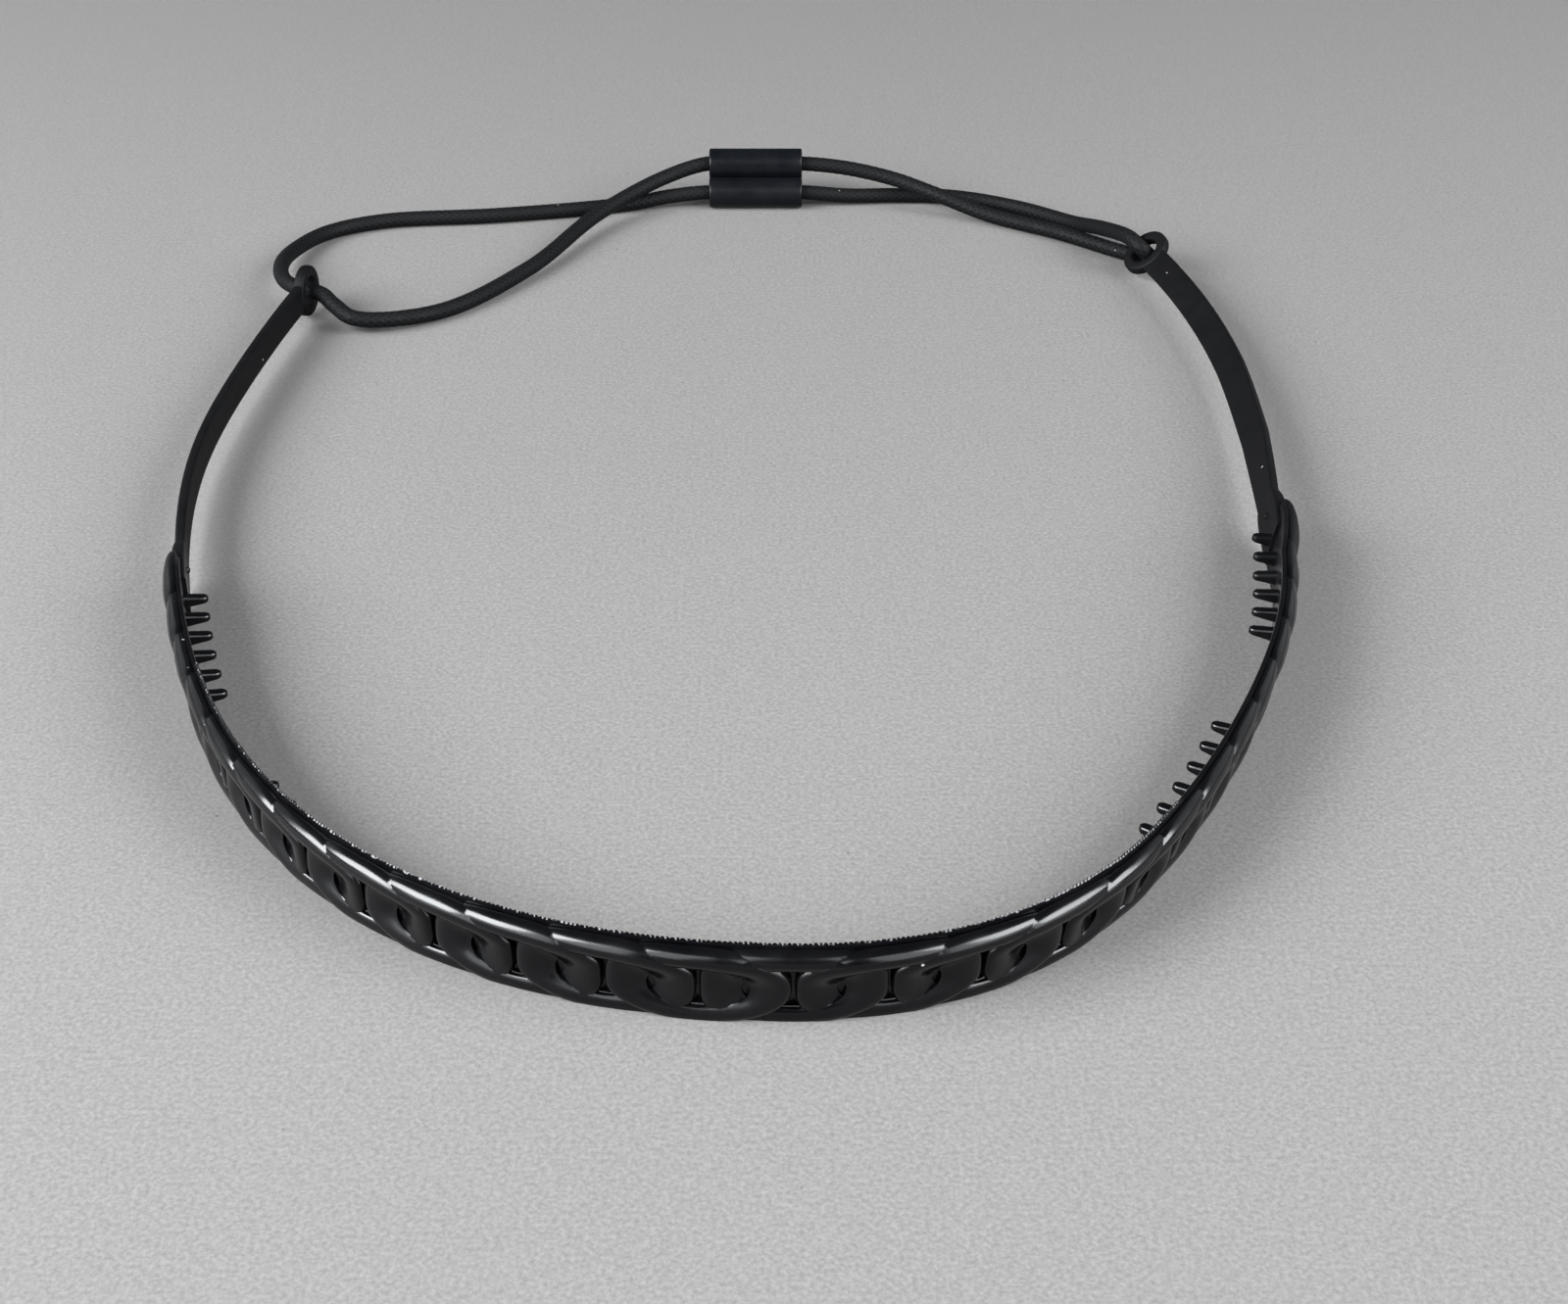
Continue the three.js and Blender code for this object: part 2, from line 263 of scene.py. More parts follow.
@dataclass
class BandPlan:
    """The curve that the band lies in, and the bend from straight to lying.

    Args:
        middle: the middle point of the curve, in millimetres.
        heading: the direction of the curve there, in degrees from X.
        chain_middle: how far the middle link lies to the right of that point.
        pivot: how far outside the curve the line lies that the band leans about.
        step: the step in which the curve is walked.
        bend_length: the length that a bend is given for.
        stations: rows of the distance from the middle point, the left and the right side's
            bend in degrees, and how far the right side's top tips outward, in degrees.
    """

    middle: Range = (2.5, -80.05)
    heading: float = -2.82
    chain_middle: float = 4.1
    pivot: float = 2.05
    step: float = 0.5
    bend_length: float = 10.0
    stations: tuple[tuple[float, ...], ...] = (
        (0, 8.5, 8.5, 0), (12, 9.5, 15, 3.5), (24, 10, 17, 7), (36, 10, 11.5, 10),
        (48, 9, 5, 8.5), (64, 7, 3.5, 6.5), (80, 4.5, 5, 5), (96, 2, 8.25, 2),
        (112, 3.75, 1.5, 16), (130, 5.25, -0.5, 37), (150, 1.5, 3, 46), (170, 1.75, 3.75, 48),
        (195, -3.5, 4.5, 49),
    )
    walk: Array = field(init=False)

    def __post_init__(self) -> None:
        """Walks the plan both ways from the middle point."""
        at, left, right, _ = np.array(self.stations).T
        before = self.walked(at, left, Side.LEFT)
        self.walk = np.vstack([before[:0:-1], self.walked(at, right, Side.RIGHT)])

    def walked(self, at: Array, bends: Array, side: Side) -> Array:
        """Walks one side of the plan.

        Args:
            at: the distance of each station.
            bends: the bend at each station.
            side: the side to walk.

        Returns:
            Rows of distance, x, y and heading.
        """
        x, y = self.middle
        heading = math.radians(self.heading)
        rows = []
        ahead = self.step * side.value
        for run in np.arange(0, at[-1] + self.step / 2, self.step):
            rows.append((side.value * run, x, y, heading))
            bend = float(np.interp(run + self.step / 2, at, bends)) / self.bend_length
            turn = math.radians(bend) * ahead
            x += math.cos(heading + turn / 2) * ahead
            y += math.sin(heading + turn / 2) * ahead
            heading += turn
        return np.array(rows)

    def lay(self, straight: Array) -> Array:
        """Bends straight points onto the plan.

        Args:
            straight: points in millimetres: x along the band from its middle link, y towards
                the head, z up.

        Returns:
            The points in metres, where the band lies.
        """
        along = straight[:, 0] + self.chain_middle
        x, y, heading = (np.interp(along, self.walk[:, 0], self.walk[:, k]) for k in (1, 2, 3))
        at, _, _, leans = np.array(self.stations).T
        lean = np.radians(np.interp(along, at, leans))
        inset = -straight[:, 1] - self.pivot
        out = self.pivot + inset * np.cos(lean) + straight[:, 2] * np.sin(lean)
        up = straight[:, 2] * np.cos(lean) - inset * np.sin(lean)
        lying = np.stack([x + np.sin(heading) * out, y - np.cos(heading) * out, up], axis=1)
        return lying * MILLIMETRE


@dataclass
class NodeSheet:
    """A node tree under construction.

    Args:
        tree: the tree that the nodes go into.
    """

    tree: Tree

    def feed(self, node: Node, values: dict[str | int, Value]) -> None:
        """Links the inputs of a node to other sockets or gives them fixed values.

        Args:
            node: the node that is fed.
            values: what its inputs get, by their names or numbers.
        """
        for key, value in values.items():
            if isinstance(value, Socket):
                self.tree.links.new(value, node.inputs[key])
            else:
                node.inputs[key].default_value = value

    def node(self, kind: str, values: dict[str | int, Value], **settings: str | Tree) -> Node:
        """Adds a node.

        Args:
            kind: Blender's name for the node.
            values: what its inputs get.
            settings: the node's own properties.

        Returns:
            The node.
        """
        made = self.tree.nodes.new(kind)
        for key, setting in settings.items():
            setattr(made, key, setting)
        self.feed(made, values)
        return made

    def math(self, operation: str, first: Socket, second: Socket | float) -> Socket:
        """Works out two values by an operation that Blender names."""
        return self.node("ShaderNodeMath", {0: first, 1: second}, operation=operation).outputs[0]

    def spread(self, value: Socket, start: Range, end: Range) -> Socket:
        """Maps a value from the range that it has at the start onto the range at the end."""
        ends = dict(zip(("From Min", "From Max", "To Min", "To Max"), start + end))
        return self.node("ShaderNodeMapRange", {"Value": value, **ends}).outputs["Result"]

    def blend(self, part: Socket, first: Socket | Colour, second: Colour) -> Socket:
        """Blends two colours, of which the second shows by the part."""
        colours = {"Factor": part, "A": first, "B": second}
        return self.node("ShaderNodeMix", colours, data_type="RGBA").outputs["Result"]


class SurfaceEffects:
    """Node groups that more than one finish uses, each built once."""

    def __init__(self) -> None:
        """Builds the groups."""
        self.dust = self.make_dust()
        self.grain = self.make_grain()

    @staticmethod
    def empty_group(
        name: str, inputs: dict[str, float], outputs: tuple[str, ...]
    ) -> tuple[NodeSheet, dict[str, Socket], Node]:
        """Makes a group with a place input, numbers in and numbers out.

        Args:
            name: the name of the group.
            inputs: the names of its numbers and their usual values.
            outputs: the names of what it puts out.

        Returns:
            The group, the sockets that it is given by name, and its output node.
        """
        tree = bpy.data.node_groups.new(name, "ShaderNodeTree")
        new_socket = tree.interface.new_socket
        new_socket("Place", in_out="INPUT", socket_type="NodeSocketVector")
        for key, value in inputs.items():
            new_socket(key, in_out="INPUT", socket_type="NodeSocketFloat").default_value = value
        for key in outputs:
            new_socket(key, in_out="OUTPUT", socket_type="NodeSocketFloat")
        given = {socket.name: socket for socket in tree.nodes.new("NodeGroupInput").outputs}
        return NodeSheet(tree), given, tree.nodes.new("NodeGroupOutput")

    def make_dust(self) -> Tree:
        """Builds fine specks of dust that lie apart from each other.

        Returns:
            A group that puts out a mask, 1 on a speck.
        """
        usual = {"Density": 900.0, "Amount": 0.2, "Size": 0.16}
        sheet, given, out = self.empty_group("dust_specks", usual, ("Mask",))
        scale = {"Vector": given["Place"], "Scale": given["Density"]}
        cells = sheet.node("ShaderNodeTexVoronoi", scale)
        chosen = sheet.node("ShaderNodeSeparateColor", {0: cells.outputs["Color"]})
        gate = sheet.math("LESS_THAN", chosen.outputs[0], given["Amount"])
        edge = {"From Min": 0.02, "From Max": given["Size"], "To Min": 1.0, "To Max": 0.0}
        values = {"Value": cells.outputs["Distance"], **edge}
        speck = sheet.node("ShaderNodeMapRange", values, interpolation_type="SMOOTHSTEP")
        sheet.feed(out, {"Mask": sheet.math("MULTIPLY", speck.outputs["Result"], gate)})
        return sheet.tree

    def make_grain(self) -> Tree:
        """Builds the slight unevenness of a moulded skin.

        Returns:
            A group that puts out a height and a soft smudge value.
        """
        usual = {"Fine": 6000.0, "Broad": 260.0}
        sheet, given, out = self.empty_group("mould_grain", usual, ("Height", "Smudge"))
        fine = {"Vector": given["Place"], "Scale": given["Fine"], "Detail": 3.0}
        broad = {"Vector": given["Place"], "Scale": given["Broad"], "Detail": 4.0, "Roughness": 0.6}
        ripple = sheet.node("ShaderNodeTexNoise", fine).outputs["Fac"]
        swell = sheet.node("ShaderNodeTexNoise", broad).outputs["Fac"]
        swell_weight = 1.6
        sums = {0: swell, 1: swell_weight, 2: ripple}
        waves = sheet.node("ShaderNodeMath", sums, operation="MULTIPLY_ADD")
        sheet.feed(out, {"Height": waves.outputs[0], "Smudge": swell})
        return sheet.tree


class Finish(NodeSheet):
    """A material under construction, with its shader and the places on its surface."""

    def __init__(self, name: str) -> None:
        """Makes the material.

        Args:
            name: its name.
        """
        self.material = bpy.data.materials.new(name)
        self.material.use_nodes = True
        super().__init__(self.material.node_tree)
        self.shader = self.tree.nodes["Principled BSDF"]
        self.place = self.node("ShaderNodeTexCoord", {}).outputs

    def group(self, tree: Tree, **values: float) -> Node:
        """Adds a shared effect at the place on the surface."""
        places = {"Place": self.place["Object"], **values}
        return self.node("ShaderNodeGroup", places, node_tree=tree)

    def bump(self, height: Socket, strength: float, depth: float) -> None:
        """Lets a height turn the shader's normal, where a height of 1 is the depth in metres."""
        made = self.node("ShaderNodeBump", {"Height": height, "Strength": strength, "Distance": depth})
        self.feed(self.shader, {"Normal": made.outputs["Normal"]})


@dataclass(frozen=True)
class MouldedBlack:
    """Black moulded plastic, glossy or satin, with a little dust.

    Args:
        name: the name of the material.
        skin: the colour of the plastic.
        haze: a slightly lighter colour where the skin is smudged.
        dust: the colour of the dust.
        gloss: the roughness from its cleanest to its most smudged places.
        dust_amount: the share of places that hold a speck.
        grain_depth: the depth of the unevenness in metres.
        dull_from: where along Y the duller tails start and are dullest, in metres.
        dull: how much rougher the tails are.
        tail_shine: how much the tails mirror, where 0.5 is as much as the rest.
        index: the refractive index.
    """

    name: str
    skin: Colour
    haze: Colour
    dust: Colour
    gloss: Range
    dust_amount: float
    grain_depth: float
    dull_from: Range = (-0.020, -0.004)
    dull: float = 0.0
    tail_shine: float = 0.5
    index: float = 1.3

    def make(self, effects: SurfaceEffects) -> Material:
        """Makes the material.

        Args:
            effects: the shared node groups.

        Returns:
            The material.
        """
        dust_cover, dust_rough, plain_shine, grain_shows = 0.6, 0.4, 0.5, 0.35
        finish = Finish(self.name)
        grain = finish.group(effects.grain, Fine=5200.0, Broad=240.0).outputs
        dust = finish.group(effects.dust, Density=620.0, Amount=self.dust_amount, Size=0.13)
        specks = dust.outputs["Mask"]
        smudge = finish.spread(grain["Smudge"], (0.35, 0.7), UNIT)
        plain = finish.blend(smudge, self.skin, self.haze)
        rough = finish.spread(smudge, UNIT, self.gloss)
        worn = finish.math("ADD", rough, finish.math("MULTIPLY", specks, dust_rough))
        along = finish.node("ShaderNodeSeparateXYZ", {0: finish.place["Object"]}).outputs["Y"]
        tail = finish.spread(along, self.dull_from, (0.0, self.dull))
        shine = finish.spread(along, self.dull_from, (plain_shine, self.tail_shine))
        hidden = finish.math("MULTIPLY", specks, dust_cover)
        looks = {
            "Base Color": finish.blend(hidden, plain, self.dust),
            "Roughness": finish.math("ADD", worn, tail),
            "Specular IOR Level": shine,
            "IOR": self.index,
        }
        finish.feed(finish.shader, looks)
        finish.bump(grain["Height"], grain_shows, self.grain_depth)
        return finish.material


@dataclass(frozen=True)
class BraidedBlack:
    """Matte black elastic under a fine braid.

    Args:
        name: the name of the material.
        thread: the colour of the threads.
        worn: the colour on the crowns of the threads.
        lint: the colour of the dust.
        strands: the threads round the cord each way.
        lean: the threads' turns round the cord in each metre.
        depth: the depth of the weave in metres.
    """

    name: str
    thread: Colour
    worn: Colour
    lint: Colour
    strands: int
    lean: float
    depth: float = 0.00006

    def make(self, effects: SurfaceEffects) -> Material:
        """Makes the material.

        Args:
            effects: the shared node groups.

        Returns:
            The material.
        """
        lint_cover, fuzz, weave_shows = 0.5, 0.25, 0.6
        finish = Finish(self.name)
        parts = finish.node("ShaderNodeSeparateXYZ", {0: finish.place["UV"]}).outputs
        turn = finish.math("MULTIPLY", parts["X"], FULL_TURN * self.strands)
        run = finish.math("MULTIPLY", parts["Y"], FULL_TURN * self.lean * self.strands)
        over = finish.math("SINE", finish.math("ADD", turn, run), 0.0)
        under = finish.math("SINE", finish.math("SUBTRACT", turn, run), 0.0)
        weave = finish.spread(finish.math("MAXIMUM", over, under), (-1.0, 1.0), UNIT)
        grain = finish.group(effects.grain, Fine=9000.0, Broad=420.0).outputs
        dust = finish.group(effects.dust, Density=700.0, Amount=0.05, Size=0.12)
        hidden = finish.math("MULTIPLY", dust.outputs["Mask"], lint_cover)
        woven = finish.blend(weave, self.thread, self.worn)
        looks = {
            "Base Color": finish.blend(hidden, woven, self.lint),
            "Roughness": finish.spread(grain["Smudge"], NOISE, (0.5, 0.68)),
            "Specular IOR Level": 0.04,
            "Sheen Weight": 0.001,
            "Sheen Roughness": 0.5,
        }
        finish.feed(finish.shader, looks)
        fibres = finish.math("MULTIPLY", grain["Height"], fuzz)
        finish.bump(finish.math("ADD", weave, fibres), weave_shows, self.depth)
        return finish.material


@dataclass(frozen=True)
class PalePaper:
    """Pale grey paper with soft mottling and fine fibres.

    Args:
        name: the name of the material.
        light: its lighter colour.
        dark: its darker colour.
        fleck: the colour of its few dark flecks.
        depth: the depth of its fibres in metres.
    """

    name: str
    light: Colour
    dark: Colour
    fleck: Colour
    depth: float = 0.00006

    def make(self, effects: SurfaceEffects) -> Material:
        """Makes the material.

        Args:
            effects: the shared node groups.

        Returns:
            The material.
        """
        fleck_cover, fibre_shows = 0.7, 0.16
        finish = Finish(self.name)
        grain = finish.group(effects.grain, Fine=7600.0, Broad=2300.0).outputs
        mottle = finish.spread(grain["Smudge"], NOISE, UNIT)
        flecks = finish.group(effects.dust, Density=420.0, Amount=0.035, Size=0.1)
        hidden = finish.math("MULTIPLY", flecks.outputs["Mask"], fleck_cover)
        sheet = finish.blend(mottle, self.dark, self.light)
        looks = {
            "Base Color": finish.blend(hidden, sheet, self.fleck),
            "Roughness": finish.spread(mottle, UNIT, (0.7, 0.85)),
            "Specular IOR Level": 0.25,
        }
        finish.feed(finish.shader, looks)
        finish.bump(grain["Height"], fibre_shows, self.depth)
        return finish.material


class Dressed:
    """A sub-assembly of one piece with one finish all over."""

    finish: MouldedBlack | BraidedBlack | PalePaper

    def dress(self, piece: Object, effects: SurfaceEffects) -> None:
        """Gives the piece its finish, made with the shared effects."""
        piece.data.materials.clear()
        piece.data.materials.append(self.finish.make(effects))


@dataclass
class PhotoCamera:
    """The camera at the photograph's angle.

    Args:
        place: where it stands, in metres.
        tilt: its turn about X in degrees, 0 straight down.
        lens: its focal length in millimetres, with a sensor 36 mm wide.
        nearest: the nearest distance that it sees, in metres.
    """

    place: Point = (0.0058, -0.23715, 0.1388)
    tilt: float = 57.18
    lens: float = 54.0
    nearest: float = 0.01

    def build(self) -> Object:
        """Makes the camera and looks through it.

        Returns:
            The camera.
        """
        data = bpy.data.cameras.new("photo_camera")
        data.lens = self.lens
        data.sensor_fit = "HORIZONTAL"
        data.clip_start = self.nearest
        camera = bpy.data.objects.new("photo_camera", data)
        camera.location = self.place
        camera.rotation_euler = (math.radians(self.tilt), 0.0, 0.0)
        bpy.context.scene.collection.objects.link(camera)
        bpy.context.scene.camera = camera
        return camera


@dataclass
class CordStopper(Dressed):
    """Two fused tubes side by side that gather the cord's two runs.

    Args:
        middle: the middle of the lower tube in millimetres.
        long: the length of the tubes.
        radius: the outer radius of a tube.
        bore: the radius of a bore.
        spacing: the distance between the tubes' middles.
        slope: how steeply the upper tube stands over the lower, in degrees.
        rounding: the radius of the outer edges at the ends.
        sides: the steps round a tube.
        crease: the angle in degrees from which an edge stays sharp.
        finish: its plastic.
    """

    middle: Point = (1.45, 104.85, 2.3)
    long: float = 14.2
    radius: float = 2.3
    bore: float = 1.6
    spacing: float = 4.4
    slope: float = 57.0
    rounding: float = 0.28
    sides: int = 96
    crease: float = 40.0
    finish: MouldedBlack = MouldedBlack(
        "satin_black_plastic",
        skin=(0.0012, 0.0014, 0.0019, 1),
        haze=(0.0018, 0.002, 0.0026, 1),
        dust=(0.3, 0.3, 0.3, 1),
        gloss=(0.24, 0.34),
        dust_amount=0.05,
        grain_depth=0.00002,
        index=1.18,
    )

    def tube(self, shift: float) -> Shell:
        """Turns one tube with rounded ends.

        Args:
            shift: how far along the slope it stands from the lower tube.

        Returns:
            The tube's shell in metres.
        """
        wall = self.radius - self.bore
        section = rounded_section(wall, self.long, self.rounding, corner=6, across=1, up=24)
        back, rise = turned(section, (self.radius + self.bore) / 2, self.sides)
        slope = math.radians(self.slope)
        x = self.middle[0] + section[:, 1]
        y = self.middle[1] + shift * math.cos(slope) + back
        z = self.middle[2] + shift * math.sin(slope) + rise
        return Shell.swept(grid(x, y, z) * MILLIMETRE, Ends.JOINED)

    def build(self) -> Object:
        """Fuses the two tubes.

        Returns:
            The stopper.
        """
        stopper = self.tube(0.0).to_object("stopper_double_barrel")
        fuse(stopper, self.tube(self.spacing), Fusing.JOIN)
        smooth(stopper, self.crease)
        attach(stopper, BODY)
        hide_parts("cord_stopper")
        return stopper


@dataclass
class ElasticCord(Dressed):
    """A loop of thin braided elastic through both eyelets and twice through the stopper.

    Args:
        middle: the band's middle point in millimetres, from which the route is measured.
        radius: the cord's radius.
        sides: the steps round it.
        step: the distance between its rings.
        relief: the depth of the braid.
        floor_gap: the least height of its surface over the floor.
        between: the points drawn from one point of the route to the next.
        crease: the angle in degrees from which an edge stays sharp.
        finish: its braid.
        route: the points that it follows.
    """

    middle: Range = (2.5, -80.05)
    radius: float = 1.1
    sides: int = 32
    step: float = 0.22
    relief: float = 0.05
    floor_gap: float = 0.02
    between: int = 60
    crease: float = 60.0
    finish: BraidedBlack = BraidedBlack(
        "matte_black_elastic",
        thread=(0.001, 0.00105, 0.0012, 1),
        worn=(0.0024, 0.0025, 0.0028, 1),
        lint=(0.25, 0.25, 0.25, 1),
        strands=8,
        lean=110.0,
    )
    route: tuple[Point, ...] = (
        (-1.4, 187.3, 6.0), (-8.4, 187.3, 6.0), (-14.7, 185.5, 4.6), (-24.3, 176.2, 2.6),
        (-33.5, 158.1, 1.4), (-45.0, 143.4, 1.25), (-55.6, 138.9, 2.4), (-58.8, 141.4, 3.3),
        (-60.6, 143.7, 3.7), (-62.4, 144.9, 3.8), (-64.2, 145.7, 3.8), (-66.6, 148.5, 3.6),
        (-68.7, 156.0, 2.7), (-68.3, 164.0, 1.7), (-64.6, 171.9, 1.2), (-57.0, 176.2, 1.2),
        (-40.0, 178.5, 1.2), (-20.7, 182.9, 1.2), (-14.0, 184.6, 1.8), (-8.4, 184.9, 2.3),
        (6.3, 184.9, 2.3), (13.0, 185.6, 1.5), (21.0, 186.5, 1.2), (30.0, 185.6, 1.2),
        (39.2, 181.3, 1.2), (46.5, 174.4, 1.7), (50.2, 167.6, 3.6), (53.2, 160.2, 5.2),
        (54.2, 158.7, 4.7), (55.5, 158.4, 3.6), (56.4, 159.4, 2.4), (56.0, 161.2, 1.7),
        (52.3, 165.0, 1.2), (44.3, 171.8, 1.2), (34.0, 178.4, 1.4), (26.4, 181.9, 3.2),
        (20.0, 185.7, 4.2), (13.0, 187.2, 5.3), (6.3, 187.3, 6.0), (-0.7, 187.3, 6.0),
    )

    def centreline(self) -> Array:
        """Draws a smooth curve through the route, with even steps.

        Returns:
            Points in millimetres, one row each.
        """
        points = np.array(self.route) + np.array([*self.middle, 0.0])
        points = np.vstack([2 * points[0] - points[1], points, 2 * points[-1] - points[-2]])
        fine: list[Array] = []
        for index in range(1, len(points) - 2):
            near = points[index - 1 : index + 3]
            gaps = np.sqrt(np.linalg.norm(np.diff(near, axis=0), axis=1))
            knots = np.concatenate([[0.0], np.cumsum(gaps)])
            for time in np.linspace(knots[1], knots[2], self.between, endpoint=False):
                fine.append(self.through(near, knots, float(time)))
        fine.append(points[-2])
        line = np.array(fine)
        run = np.concatenate([[0.0], np.cumsum(np.linalg.norm(np.diff(line, axis=0), axis=1))])
        even = np.linspace(0.0, run[-1], round(run[-1] / self.step) + 1)
        return np.stack([np.interp(even, run, line[:, k]) for k in range(3)], axis=1)

    @staticmethod
    def through(near: Array, knots: Array, time: float) -> Array:
        """Finds a point between the middle two of four points.

        Args:
            near: the four points.
            knots: the time at each point.
            time: the time of the point to find.

        Returns:
            The point.
        """
        level = list(near)
        for spans in (((0, 1), (1, 2), (2, 3)), ((0, 2), (1, 3)), ((1, 2),)):
            parts = [(time - knots[a]) / (knots[b] - knots[a]) for a, b in spans]
            level = [one + (two - one) * part for one, two, part in zip(level, level[1:], parts)]
        return level[0]

    def build(self, stopper: Object) -> Object:
        """Args:
            stopper: the piece that the cord runs through; it is not used.

        Returns:
            The cord.
        """
        line = self.centreline()
        ahead = np.gradient(line, axis=0)
        ahead /= np.linalg.norm(ahead, axis=1, keepdims=True)
        across = np.empty_like(line)
        first = np.cross(ahead[0], [0.0, 0.0, 1.0])
        across[0] = first / np.linalg.norm(first)
        for index in range(1, len(line)):
            kept = across[index - 1] - ahead[index] * float(across[index - 1] @ ahead[index])
            across[index] = kept / np.linalg.norm(kept)
        above = np.cross(ahead, across)
        angle = circle(self.sides)
        run = np.arange(len(line)) * self.step * MILLIMETRE
        twist = FULL_TURN * self.finish.lean * run[:, None]
        over = np.sin(self.finish.strands * (angle + twist))
        under = np.sin(self.finish.strands * (angle - twist))
        reach = self.radius - self.relief * (1 - np.maximum(over, under)) / 2
        ring = np.cos(angle)[:, None] * across[:, None] + np.sin(angle)[:, None] * above[:, None]
        points = line[:, None] + reach[..., None] * ring
        points[..., 2] = np.maximum(points[..., 2], self.floor_gap)
        cord = Shell.swept(points * MILLIMETRE, Ends.CAPPED).to_object("elastic_loop")
        self.unwrap(cord, run)
        smooth(cord, self.crease)
        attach(cord, BODY)
        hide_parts("elastic_cord")
        return cord

    def unwrap(self, cord: Object, run: Array) -> None:
        """Maps turns round the cord to U and metres along it to V.

        Args:
            cord: the cord's object.
            run: the distance of each ring from the first end, in metres.
        """
        mesh = cord.data
        layer = mesh.uv_layers.new(name="braid")
        points = np.empty(len(mesh.loops), dtype=np.int32)
        mesh.loops.foreach_get("vertex_index", points)
        turn = points % self.sides
        quads = turn[: -2 * self.sides].reshape(-1, 4)
        at_seam = quads.max(axis=1, keepdims=True) == self.sides - 1
        quads[(quads == 0) & at_seam] = self.sides
        places = np.stack([turn / self.sides, run[points // self.sides]], axis=1)
        layer.data.foreach_set("uv", places.ravel())


@dataclass
class MouldedBand(Dressed):
    """The band: backing plate, chain relief, comb teeth, end pieces, straps and eyelets.

    Sizes are in millimetres, with the band drawn straight before it is bent onto its plan. A
    comment stands over the sizes of each form.

    Args:
        plan: the curve that the band lies in.
        up: the height of the chain's middle line over the floor.
        seed: the start of the random draws.
        crease: the angle in degrees from which an edge stays sharp.
        floor_block: the width and depth in metres of the block that cuts it off at the floor.
        finish: its plastic.
    """

    plan: BandPlan
    up: float = 3.8
    seed: int = 7
    crease: float = 38.0
    floor_block: Range = (0.5, 0.01)
    # The chain: pitch, outline and hole of a link, its cross-section and its weave.
    pitch: float = 8.2
    count: int = 25
    outer: Range = (8.08, 4.1)
    inner: Range = (4.45, 2.2)
    inner_drop: float = 0.3
    inner_squareness: float = 2.2
    over_squareness: float = 2.15
    under_squareness: float = 3.4
    link_out: float = 1.15
    link_back: float = 0.6
    end_half_thick: float = 0.68
    top_half_thick: float = 1.15
    bottom_half_thick: float = 0.36
    end_dish: float = 0.9
    weave: float = 0.3
    under: float = -0.2
    rail_squareness: float = 2.0
    end_squareness: float = 2.7
    ring_sides: int = 96
    wire_sides: int = 20
    # The backing plate, with the ribs of its inner face and the nibs of its rim.
    plate_half_long: float = 105.3
    plate_setback: float = 0.45
    plate_thick: float = 0.5
    plate_half_high: float = 3.4
    plate_up: float = 4.6
    plate_end_reach: float = 7.1
    plate_step: float = 0.8
    rib_zone: Range = (-80.0, 42.0)
    rib_gap: float = 0.5
    rib_pitch: float = 0.44
    rib_spread: Range = (0.85, 1.15)
    rib_shoulders: Range = (0.25, 0.7)
    rib_depth: Range = (0.09, 0.13)
    rib_foot: float = 4.4
    rib_fade: float = 1.5
    rib_jitter: float = 0.03
    nib_part: float = 1.27
    # The end pieces, and the place, radius and height of the pip at the start of each strap.
    end_from: float = 100.0
    end_to: float = 109.4
    end_thick: float = 1.5
    end_high: float = 5.6
    end_rounding: float = 0.4
    end_tip: float = 0.75
    end_sections: int = 28
    pip: Point = (106.2, 0.42, 0.34)
    pip_foot: float = -0.2
    pip_sides: int = 28
    # The comb teeth.
    tooth_starts: tuple[float, ...] = (-99.5, -61.2, 41.4, 81.0)
    tooth_pitch: float = 3.97
    tooth_count: int = 6
    tooth_long: float = 2.55
    tooth_wide: float = 1.15
    tooth_high: float = 1.55
    tooth_taper: float = 0.5
    tooth_root: float = 0.3
    tooth_tip: float = 0.55
    tooth_rounding: float = 0.34
    # The straps and their eyelets.
    strap_start: float = 104.0
    strap_thick: float = 1.15
    strap_high: float = 3.9
    strap_rounding: float = 0.3
    strap_sections: int = 90
    eyelets: tuple[tuple[Side, float], ...] = ((Side.LEFT, -182.5), (Side.RIGHT, 183.5))
    eyelet_radius: float = 3.5
    eyelet_hole: float = 1.95
    eyelet_thick: float = 1.5
    eyelet_overlap: float = 1.05
    eyelet_rounding: float = 0.45
    eyelet_sides: int = 64
    finish: MouldedBlack = MouldedBlack(
        "gloss_black_plastic",
        skin=(0.0005, 0.0005, 0.0007, 1),
        haze=(0.001, 0.001, 0.0012, 1),
        dust=(0.35, 0.35, 0.34, 1),
        gloss=(0.17, 0.25),
        dust_amount=0.03,
        grain_depth=0.00001,
        dull=0.42,
        tail_shine=0.14,
    )

    def bent(self, shell: Shell) -> Shell:
        """Bends a straight shell onto the plan."""
        return Shell(self.plan.lay(shell.points), shell.faces)

    def crossings(self, index: int) -> Array:
        """Tells which way each of a link's four crossings is pushed.

        Args:
            index: the number of the link from the left.

        Returns:
            1 for out over its neighbour and less than 0 for in under it: top right, top left,
            bottom left, bottom right.
        """
        middle = (self.count - 1) // 2
        plain = (1, 0, 1, 0) if index < middle else (0, 1, 0, 1)
        over = {middle - 1: (1, 0, 1, 1), middle: (0, 0, 0, 1)}.get(index, plain)
        return np.where(over, 1, self.under)

